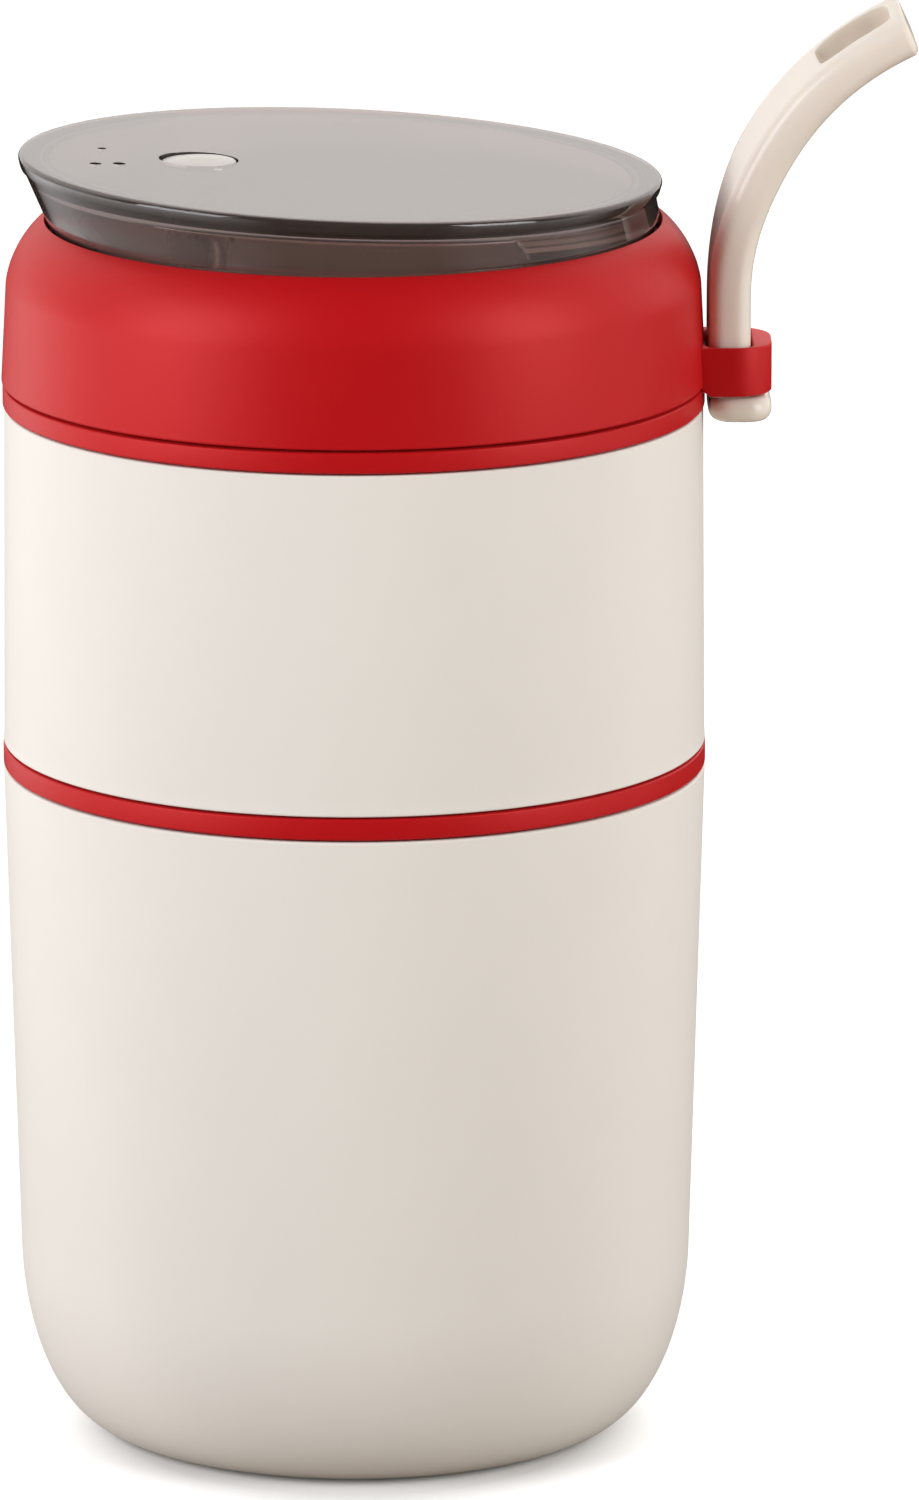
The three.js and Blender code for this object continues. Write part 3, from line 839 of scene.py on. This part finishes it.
def cover():
    edge = RIM_R - FLAT_R
    crease_r = RIM_R - CREASE
    plug_in_r = PLUG_R - COVER_WALL
    neck_z = SKIRT_Z - GAP
    places = [rim_place(FLAT_R - FLAT_MARGIN, 0), rim_place(FLAT_R, 0)]
    for step in range(1, RIM_STEPS + 1):
        turn = step * math.pi / (2 * RIM_STEPS)
        places.append(rim_place(FLAT_R + edge * math.sin(turn), edge * (1 - math.cos(turn))))
    places += [
        rim_place(crease_r + CREASE_LEAN, RIM_DEPTH - CREASE_ABOVE),
        rim_place(crease_r, RIM_DEPTH),
        rim_place(crease_r - CREASE, RIM_DEPTH + CREASE_STEP),
        rim_place(crease_r - CREASE - CREASE_LEAN, RIM_DEPTH + CREASE_BELOW),
        cover_place(SKIRT_X, SKIRT_Z + EASED, SKIRT_R + SKIRT_FLARE),
        cover_place(SKIRT_X, SKIRT_Z, SKIRT_R),
        cover_place(0, neck_z, PLUG_R),
        cover_place(0, PLUG_Z + EASED, PLUG_R),
        cover_place(0, PLUG_Z, PLUG_R - EASED),
        cover_place(0, PLUG_Z, plug_in_r + EASED),
        cover_place(0, PLUG_Z + EASED, plug_in_r),
        cover_place(0, neck_z, plug_in_r),
    ]
    places += [rim_place(COVER_INNER_R - inwards, PLATE + below) for inwards, below in PLATE_CORNER]
    bm = bmesh.new()
    bmesh.ops.create_circle(bm, cap_ends=False, segments=AROUND, radius=1)
    loft(bm, places)
    piece = part("lid_cover_smoky", bm)
    top = COVER_Z + COVER_CUT_PAST
    cutters = [drill(VALVE.x / MM, VALVE.y / MM, HOLE_R, SKIRT_Z, top, SMALL_AROUND)]
    cutters += [drill(x, y, radius, SKIRT_Z, top, VENT_AROUND) for x, y, radius in VENTS]
    drilled(piece, cutters)
    return piece


# Valve


def button():
    under = BUTTON_Z - BUTTON_DEPTH
    bm = spun(
        [
            (0, STEM_FOOT_Z, 0),
            (STEM_FOOT_R, STEM_FOOT_Z, EASED),
            (STEM_FOOT_R, STEM_FOOT_TOP, TIGHT),
            (STEM_NECK_R, STEM_FOOT_TOP, 0),
            (STEM_NECK_R, FLOOR_Z, 0),
            (STEM_R, FLOOR_Z, TIGHT),
            (STEM_R, under, EASED),
            (BUTTON_R, under, EASED),
            (BUTTON_R, BUTTON_Z, FAIR),
            (CROWN_R, BUTTON_Z + CROWN_RISE, CROWN_ROUND),
            (0, BUTTON_Z + CROWN_TOP, 0),
        ],
        place=VALVE,
        steps=SMALL_AROUND,
    )
    return part("valve_button_turned", bm)


def spring():
    bm = bmesh.new()
    wire = SPRING_WIRE / 2
    points = bmesh.ops.create_circle(bm, cap_ends=True, segments=12, radius=wire * MM)["verts"]
    stand = Matrix.Rotation(math.pi / 2, 4, "X")
    place = Matrix.Translation((SPRING_R * MM, 0, (SPRING_FOOT_Z + wire) * MM))
    bmesh.ops.transform(bm, matrix=place @ stand, verts=points)
    steps = CURL_STEPS * SPRING_CURLS
    rise = (SPRING_HEAD_Z - SPRING_FOOT_Z - SPRING_WIRE) * MM
    bmesh.ops.spin(
        bm,
        geom=bm.verts[:] + bm.edges[:] + bm.faces[:],
        cent=(0, 0, 0),
        axis=(0, 0, 1),
        dvec=(0, 0, rise / steps),
        angle=2 * math.pi * SPRING_CURLS,
        steps=steps,
    )
    bmesh.ops.recalc_face_normals(bm, faces=bm.faces[:])
    bmesh.ops.translate(bm, vec=VALVE, verts=bm.verts[:])
    return part("valve_spring_wound", bm)


# Carry strap


def strap_place(run):
    """Matrix of the strap's section at a run past the start of its bow: across, through, along."""
    bend = max(0, run) / BEND_R
    share = min(1, max(0, (run - ROLL_START) / (ROLL_END - ROLL_START)))
    roll = STRAP_ROLL * share * share * (3 - 2 * share)
    bend_x = STRAP_INNER_X + STRAP_THICK / 2 + BEND_R
    x = bend_x - BEND_R * math.cos(bend)
    z = BEND_Z + BEND_R * math.sin(bend) + min(0, run)
    axes = Matrix(
        (
            (0, -math.cos(bend), math.sin(bend)),
            (1, 0, 0),
            (0, math.sin(bend), math.cos(bend)),
        )
    ).to_4x4()
    return Matrix.Translation((x * MM, 0, z * MM)) @ axes @ Matrix.Rotation(roll, 4, "Z")


def add_strap_section(bm):
    """Outline across the strap, with spots where the slot's sides will run."""
    thick = STRAP_THICK / 2
    inner = SLOT_HALF_WIDTH / 3
    columns = [-STRAP_HALF, -SLOT_HALF_WIDTH, -inner, inner, SLOT_HALF_WIDTH, STRAP_HALF]
    spots = [(a, -thick) for a in columns] + [(a, thick) for a in reversed(columns)]
    points = [bm.verts.new((a * MM, b * MM, 0)) for a, b in spots]
    for a, b in zip(points, points[1:] + points[:1]):
        bm.edges.new((a, b))
    beside_slot = (STRAP_HALF + SLOT_HALF_WIDTH) / 2 * MM
    corners = [p for p in points if abs(p.co.x) > beside_slot]
    ease(bm, corners, STRAP_EDGE, segments=5, affect="VERTICES")


def strap_places():
    """Places of the strap's section from its foot to its rounded tip."""
    slot_run = BEND_R * SLOT_MIDDLE
    tip_run = BEND_R * BEND_END
    slot_runs = [slot_run + SLOT_HALF_LENGTH * share for share in SLOT_SHARES]
    lead = slot_runs[0] - LEAD_GAP
    lead_runs = [step * lead / LEAD_STEPS for step in range(LEAD_STEPS + 1)]
    places = [strap_place(run) for run in STRAIGHT_RUNS + lead_runs + slot_runs + [tip_run]]
    for step in range(1, TIP_STEPS + 1):
        turn = step * math.pi / (2 * TIP_STEPS + 1)
        lost = 1 - math.cos(turn)
        ahead = Matrix.Translation((0, 0, TIP_ROUND * math.sin(turn) * MM))
        width = 1 - TIP_CORNER * lost / STRAP_HALF
        depth = 1 - TIP_ROUND * lost / (STRAP_THICK / 2)
        places.append(strap_place(tip_run) @ ahead @ Matrix.Diagonal((width, depth, 1, 1)))
    return places


def add_slot(bm):
    """Opens the slot through the strap and rounds its corners and edges."""
    middle = strap_place(BEND_R * SLOT_MIDDLE)
    back = middle.inverted()
    window = []
    for face in bm.faces:
        spot = back @ face.calc_center_median() / MM
        inside = abs(spot.x) < SLOT_HALF_WIDTH and abs(spot.z) < SLOT_HALF_LENGTH
        if inside and abs(abs(spot.y) - STRAP_THICK / 2) < SLOT_FACE_NEAR:
            window.append(face)
    edges = {e for f in window for e in f.edges if sum(g in window for g in e.link_faces) == 1}
    bmesh.ops.delete(bm, geom=window, context="FACES")
    bmesh.ops.bridge_loops(bm, edges=list(edges))
    side = SLOT_HALF_WIDTH - SLOT_SIDE_NEAR
    end = SLOT_HALF_LENGTH - SLOT_END_NEAR
    for corner in {v for e in edges for v in e.verts}:
        spot = back @ corner.co / MM
        if abs(spot.x) > side and abs(spot.z) > end:
            spot.x *= 1 - SLOT_CORNER_PULL / SLOT_HALF_WIDTH
            corner.co = middle @ (spot * MM)
    ease(bm, [e for e in edges if e.is_valid], SLOT_EDGE, segments=3, clamp=True)


def add_foot(bm):
    """A rounded block under the loop that keeps the strap from slipping out."""
    foot = bmesh.ops.create_cube(bm, size=1)["verts"]
    wide = (FOOT_REACH_X - STRAP_INNER_X) * MM
    tall = (LOOP_BOTTOM_Z - GAP - FOOT_BOTTOM_Z) * MM
    centre = (STRAP_INNER_X * MM + wide / 2, 0, FOOT_BOTTOM_Z * MM + tall / 2)
    size = Matrix.Diagonal((wide, 2 * FOOT_HALF * MM, tall, 1))
    bmesh.ops.transform(bm, matrix=Matrix.Translation(centre) @ size, verts=foot)
    sides = {e for v in foot for e in v.link_edges}
    upright = [e for e in sides if abs(e.verts[0].co.z - e.verts[1].co.z) > tall / 2]
    bent = ease(bm, upright, FOOT_CORNER, segments=6)
    block = {f for v in bent["verts"] for f in v.link_faces}
    around = {e for f in block for e in f.edges if e.is_manifold}
    ease(bm, [e for e in around if e.calc_face_angle() > FOOT_EDGE_ANGLE], FOOT_EDGE, segments=4)


def strap():
    bm = bmesh.new()
    add_strap_section(bm)
    loft(bm, strap_places())
    add_slot(bm)
    add_foot(bm)
    bmesh.ops.recalc_face_normals(bm, faces=bm.faces[:])
    piece = part("carry_strap_moulded", bm)
    soften = piece.modifiers.new("soften", "SUBSURF")
    soften.levels = 2
    soften.render_levels = 2
    return piece


# Pieces, from the base upwards

dress(lower_shell(), cream_coat, "lower_cup", "lower_shell")
dress(base_pad(), pad_silicone, "lower_cup", "base_pad")
lower_liner = liner("lower_liner_drawn", LOWER_LINER_Z, LOWER_LINER_CORNER, LOWER_LIP_Z)
dress(lower_liner, brushed_steel, "lower_cup", "lower_liner")
lower_neck = neck("lower_neck_moulded", MID_BAND_R, MID_BAND_Z, MID_BAND_TOP, LOWER_SPIGOT_R)
dress(lower_neck, red_abs, "lower_cup", "lower_neck_ring")
flat_ring = ring(GASKET_IN_R, GASKET_OUT_R, TIER_GASKET_Z, TIER_GASKET_TOP, FAIR)
tier_gasket = part("tier_gasket_moulded", spun(flat_ring, closed=True))
dress(tier_gasket, milky_silicone, "tier_seal", "tier_gasket")
dress(upper_shell(), cream_coat, "upper_tier", "upper_shell")
upper_bowl = liner("upper_bowl_drawn", BOWL_Z, BOWL_CORNER, BOWL_LIP_Z)
dress(upper_bowl, brushed_steel, "upper_tier", "upper_bowl")
dress(screw_ring(), inner_plastic, "upper_tier", "tier_screw_ring")
upper_neck = neck("upper_neck_moulded", TOP_BAND_R, TOP_BAND_Z, TOP_BAND_TOP, UPPER_SPIGOT_R)
dress(upper_neck, red_abs, "upper_tier", "upper_neck_ring")
flat_ring = ring(GASKET_IN_R, GASKET_OUT_R, LID_GASKET_Z, LID_GASKET_TOP, FAIR)
lid_gasket = part("lid_gasket_moulded", spun(flat_ring, closed=True))
dress(lid_gasket, milky_silicone, "lid_seal", "lid_gasket")
dress(collar(), red_abs, "lid", "lid_collar")
dress(inner_lid(), inner_plastic, "lid", "lid_insert")
plug_ring = ring(COVER_SEAL_IN_R, PLUG_R, COVER_SEAL_Z, COVER_SEAL_TOP, EASED)
cover_seal = part("cover_seal_moulded", spun(plug_ring, closed=True))
dress(cover_seal, milky_silicone, "lid", "cover_seal")
dress(cover(), smoky_clear, "cover", "lid_cover")
dress(button(), button_gloss, "button", "valve_button")
stem_ring = ring(STEM_SEAL_BORE_R, STEM_SEAL_R, STEM_SEAL_Z, STEM_SEAL_TOP, EASED)
valve_seal = part("valve_seal_moulded", spun(stem_ring, place=VALVE, closed=True, steps=SMALL_AROUND))
dress(valve_seal, milky_silicone, "button", "valve_seal")
coil = dress(spring(), spring_wire, "lid", "valve_spring")
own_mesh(coil)
dress(strap(), strap_silicone, "lid", "carry_strap")


# Camera

SENSOR_HEIGHT = 36
FOCAL_LENGTH = 291.27
VIEW_END_M = 20
CAMERA_PLACE = (0, -1.56936, 0.46596)
CAMERA_DOWN = 0.2345
CAMERA_RIGHT = 0.0089

lens = bpy.data.cameras.new("camera")
lens.sensor_fit = "VERTICAL"
lens.sensor_height = SENSOR_HEIGHT
lens.lens = FOCAL_LENGTH
lens.clip_end = VIEW_END_M
camera = bpy.data.objects.new("camera", lens)
camera.location = CAMERA_PLACE
camera.rotation_euler = (math.pi / 2 - CAMERA_DOWN, 0, -CAMERA_RIGHT)
bpy.context.collection.objects.link(camera)
bpy.context.scene.camera = camera


# Floor

FLOOR_HALF_M = 6
FLOOR_GLOW = 0.5
PAPER_SEEN = "#F8F8F8"
PAPER_BOUNCE = "#A69C8F"
# Painted dark reflection: glossy rays see the white paper as near black
PAPER_MIRRORED = "#1C1A18"

# Painted shadow: the paper's glow drops in a circle right under the base, a little to the front of it
PAINTED_SHADOW_GLOW = 0.02
PAINTED_SHADOW_CENTRE = (0, -0.009, 0)
PAINTED_SHADOW_INNER = 0.031
PAINTED_SHADOW_OUTER = 0.042

# Painted reflections: glow on the paper that only glossy rays see, standing in for mirror images of the
# soft boxes, set by the way that a spot of it lies from the cup
LEFT_PAINTED_REFLECTION = 2.4
LEFT_EDGE = -0.4
LEFT_FULL = -0.8
RIGHT_PAINTED_REFLECTION = 1.3
RIGHT_EDGE = 0.55
RIGHT_FULL = 0.75
RIGHT_BACK_EDGE = 0.45
RIGHT_BACK_FULL = 0.1
NEAR_M = 0.2
FAR_M = 0.65
NEAR_SHARE = 0.15

bm = bmesh.new()
bmesh.ops.create_grid(bm, x_segments=1, y_segments=1, size=FLOOR_HALF_M)
floor = part("floor", bm)
paper = bpy.data.materials.new("white_paper_floor")
paper.use_nodes = True
tree = paper.node_tree
tree.nodes.clear()
path = add(tree, "ShaderNodeLightPath", {}).outputs
seen = add(
    tree,
    "ShaderNodeMath",
    {0: path["Is Camera Ray"], 1: path["Is Transmission Ray"]},
    operation="MAXIMUM",
).outputs[0]
place = add(tree, "ShaderNodeTexCoord", {}).outputs["Object"]
# Painted shadow: less glow on the paper close to the base
painted_shadow_distance = add(tree, "ShaderNodeVectorMath", {0: place, 1: PAINTED_SHADOW_CENTRE}, operation="DISTANCE")
lift = add(
    tree,
    "ShaderNodeMapRange",
    {
        "Value": painted_shadow_distance.outputs["Value"],
        "From Min": PAINTED_SHADOW_INNER,
        "From Max": PAINTED_SHADOW_OUTER,
        "To Min": PAINTED_SHADOW_GLOW,
        "To Max": FLOOR_GLOW,
    },
).outputs["Result"]
far = add(tree, "ShaderNodeVectorMath", {0: place}, operation="LENGTH").outputs["Value"]
way = add(tree, "ShaderNodeVectorMath", {0: place}, operation="NORMALIZE").outputs["Vector"]
way = add(tree, "ShaderNodeSeparateXYZ", {"Vector": way}).outputs
left_box = add(
    tree,
    "ShaderNodeMapRange",
    {
        "Value": way["X"],
        "From Min": LEFT_EDGE,
        "From Max": LEFT_FULL,
        "To Min": 0.0,
        "To Max": LEFT_PAINTED_REFLECTION,
    },
).outputs["Result"]
right_box = add(
    tree,
    "ShaderNodeMapRange",
    {
        "Value": way["X"],
        "From Min": RIGHT_EDGE,
        "From Max": RIGHT_FULL,
        "To Min": 0.0,
        "To Max": RIGHT_PAINTED_REFLECTION,
    },
).outputs["Result"]
right_front = add(
    tree,
    "ShaderNodeMapRange",
    {"Value": way["Y"], "From Min": RIGHT_BACK_EDGE, "From Max": RIGHT_BACK_FULL},
).outputs["Result"]
painted_box_reflections = add(
    tree,
    "ShaderNodeMath",
    {0: right_box, 1: right_front, 2: left_box},
    operation="MULTIPLY_ADD",
).outputs[0]
away = add(
    tree,
    "ShaderNodeMapRange",
    {"Value": far, "From Min": NEAR_M, "From Max": FAR_M, "To Min": NEAR_SHARE},
).outputs["Result"]
painted_box_reflections = add(tree, "ShaderNodeMath", {0: painted_box_reflections, 1: away}, operation="MULTIPLY").outputs[0]
# Painted reflections: the soft-box glow is added for glossy rays only
painted_reflection_strength = add(
    tree,
    "ShaderNodeMath",
    {0: painted_box_reflections, 1: path["Is Glossy Ray"]},
    operation="MULTIPLY",
).outputs[0]
strength = add(
    tree,
    "ShaderNodeMath",
    {0: lift, 1: seen, 2: painted_reflection_strength},
    operation="MULTIPLY_ADD",
).outputs[0]
glow = add(tree, "ShaderNodeEmission", {"Strength": strength})
shade = add(
    tree,
    "ShaderNodeMix",
    {"Factor": seen, "A": tone(PAPER_BOUNCE), "B": tone(PAPER_SEEN)},
    data_type="RGBA",
).outputs["Result"]
shade = add(
    tree,
    "ShaderNodeMix",
    {"Factor": path["Is Glossy Ray"], "A": shade, "B": tone(PAPER_MIRRORED)},
    data_type="RGBA",
).outputs["Result"]
matt = add(tree, "ShaderNodeBsdfDiffuse", {"Color": shade})
both = add(tree, "ShaderNodeAddShader", {0: matt.outputs[0], 1: glow.outputs[0]})
add(tree, "ShaderNodeOutputMaterial", {"Surface": both.outputs[0]})
floor.data.materials.append(paper)


# World: a bright backdrop behind the cup and little light from the front

FRONT_LIGHT = 0.07
FRONT_GLOSS = 0.04
FRONT_EDGE = -0.1
BACKDROP_EDGE = 0.25
BACKDROP_GLOSS = 0.2
BACKDROP_LIGHT = "#FFFAF6"
BACKDROP_SEEN = "#FFFFFF"

world = bpy.data.worlds.new("studio")
world.use_nodes = True
bpy.context.scene.world = world
tree = world.node_tree
tree.nodes.clear()
path = add(tree, "ShaderNodeLightPath", {}).outputs
aim = add(tree, "ShaderNodeTexCoord", {}).outputs["Generated"]
depth = add(tree, "ShaderNodeSeparateXYZ", {"Vector": aim}).outputs["Y"]
front = add(
    tree,
    "ShaderNodeMapRange",
    {"Value": path["Is Glossy Ray"], "To Min": FRONT_LIGHT, "To Max": FRONT_GLOSS},
).outputs["Result"]
strength = add(
    tree,
    "ShaderNodeMapRange",
    {"Value": depth, "From Min": FRONT_EDGE, "From Max": BACKDROP_EDGE, "To Min": front},
).outputs["Result"]
gloss = add(
    tree,
    "ShaderNodeMath",
    {0: path["Is Glossy Ray"], 1: BACKDROP_GLOSS, 2: 1.0},
    operation="MULTIPLY_ADD",
).outputs[0]
strength = add(tree, "ShaderNodeMath", {0: strength, 1: gloss}, operation="MULTIPLY").outputs[0]
strength = add(
    tree,
    "ShaderNodeMath",
    {0: strength, 1: path["Is Camera Ray"]},
    operation="MAXIMUM",
).outputs[0]
backdrop = add(
    tree,
    "ShaderNodeMix",
    {"Factor": path["Is Camera Ray"], "A": tone(BACKDROP_LIGHT), "B": tone(BACKDROP_SEEN)},
    data_type="RGBA",
).outputs["Result"]
sky = add(tree, "ShaderNodeBackground", {"Color": backdrop, "Strength": strength})
add(tree, "ShaderNodeOutputWorld", {"Surface": sky.outputs[0]})


# Lamps

LAMP_TARGET = Vector((0, 0, 0.1))


def softbox(name, place, width, height, power, colour):
    """A large soft lamp that faces the cup."""
    lamp = bpy.data.lights.new(name, "AREA")
    lamp.color = tone(colour)[:3]
    lamp.shape = "RECTANGLE"
    lamp.size = width
    lamp.size_y = height
    lamp.energy = power
    box = bpy.data.objects.new(name, lamp)
    box.location = place
    box.rotation_euler = (LAMP_TARGET - Vector(place)).to_track_quat("-Z", "Y").to_euler()
    bpy.context.collection.objects.link(box)


softbox("softbox_left", place=(-1.05, -0.64, 0.5), width=0.8, height=1.1, power=16, colour="#FAFBFF")
softbox("softbox_right", place=(1.03, -0.6, 0.5), width=0.6, height=1.0, power=11.3, colour="#FFFFFF")

bpy.context.scene.view_settings.view_transform = "Standard"
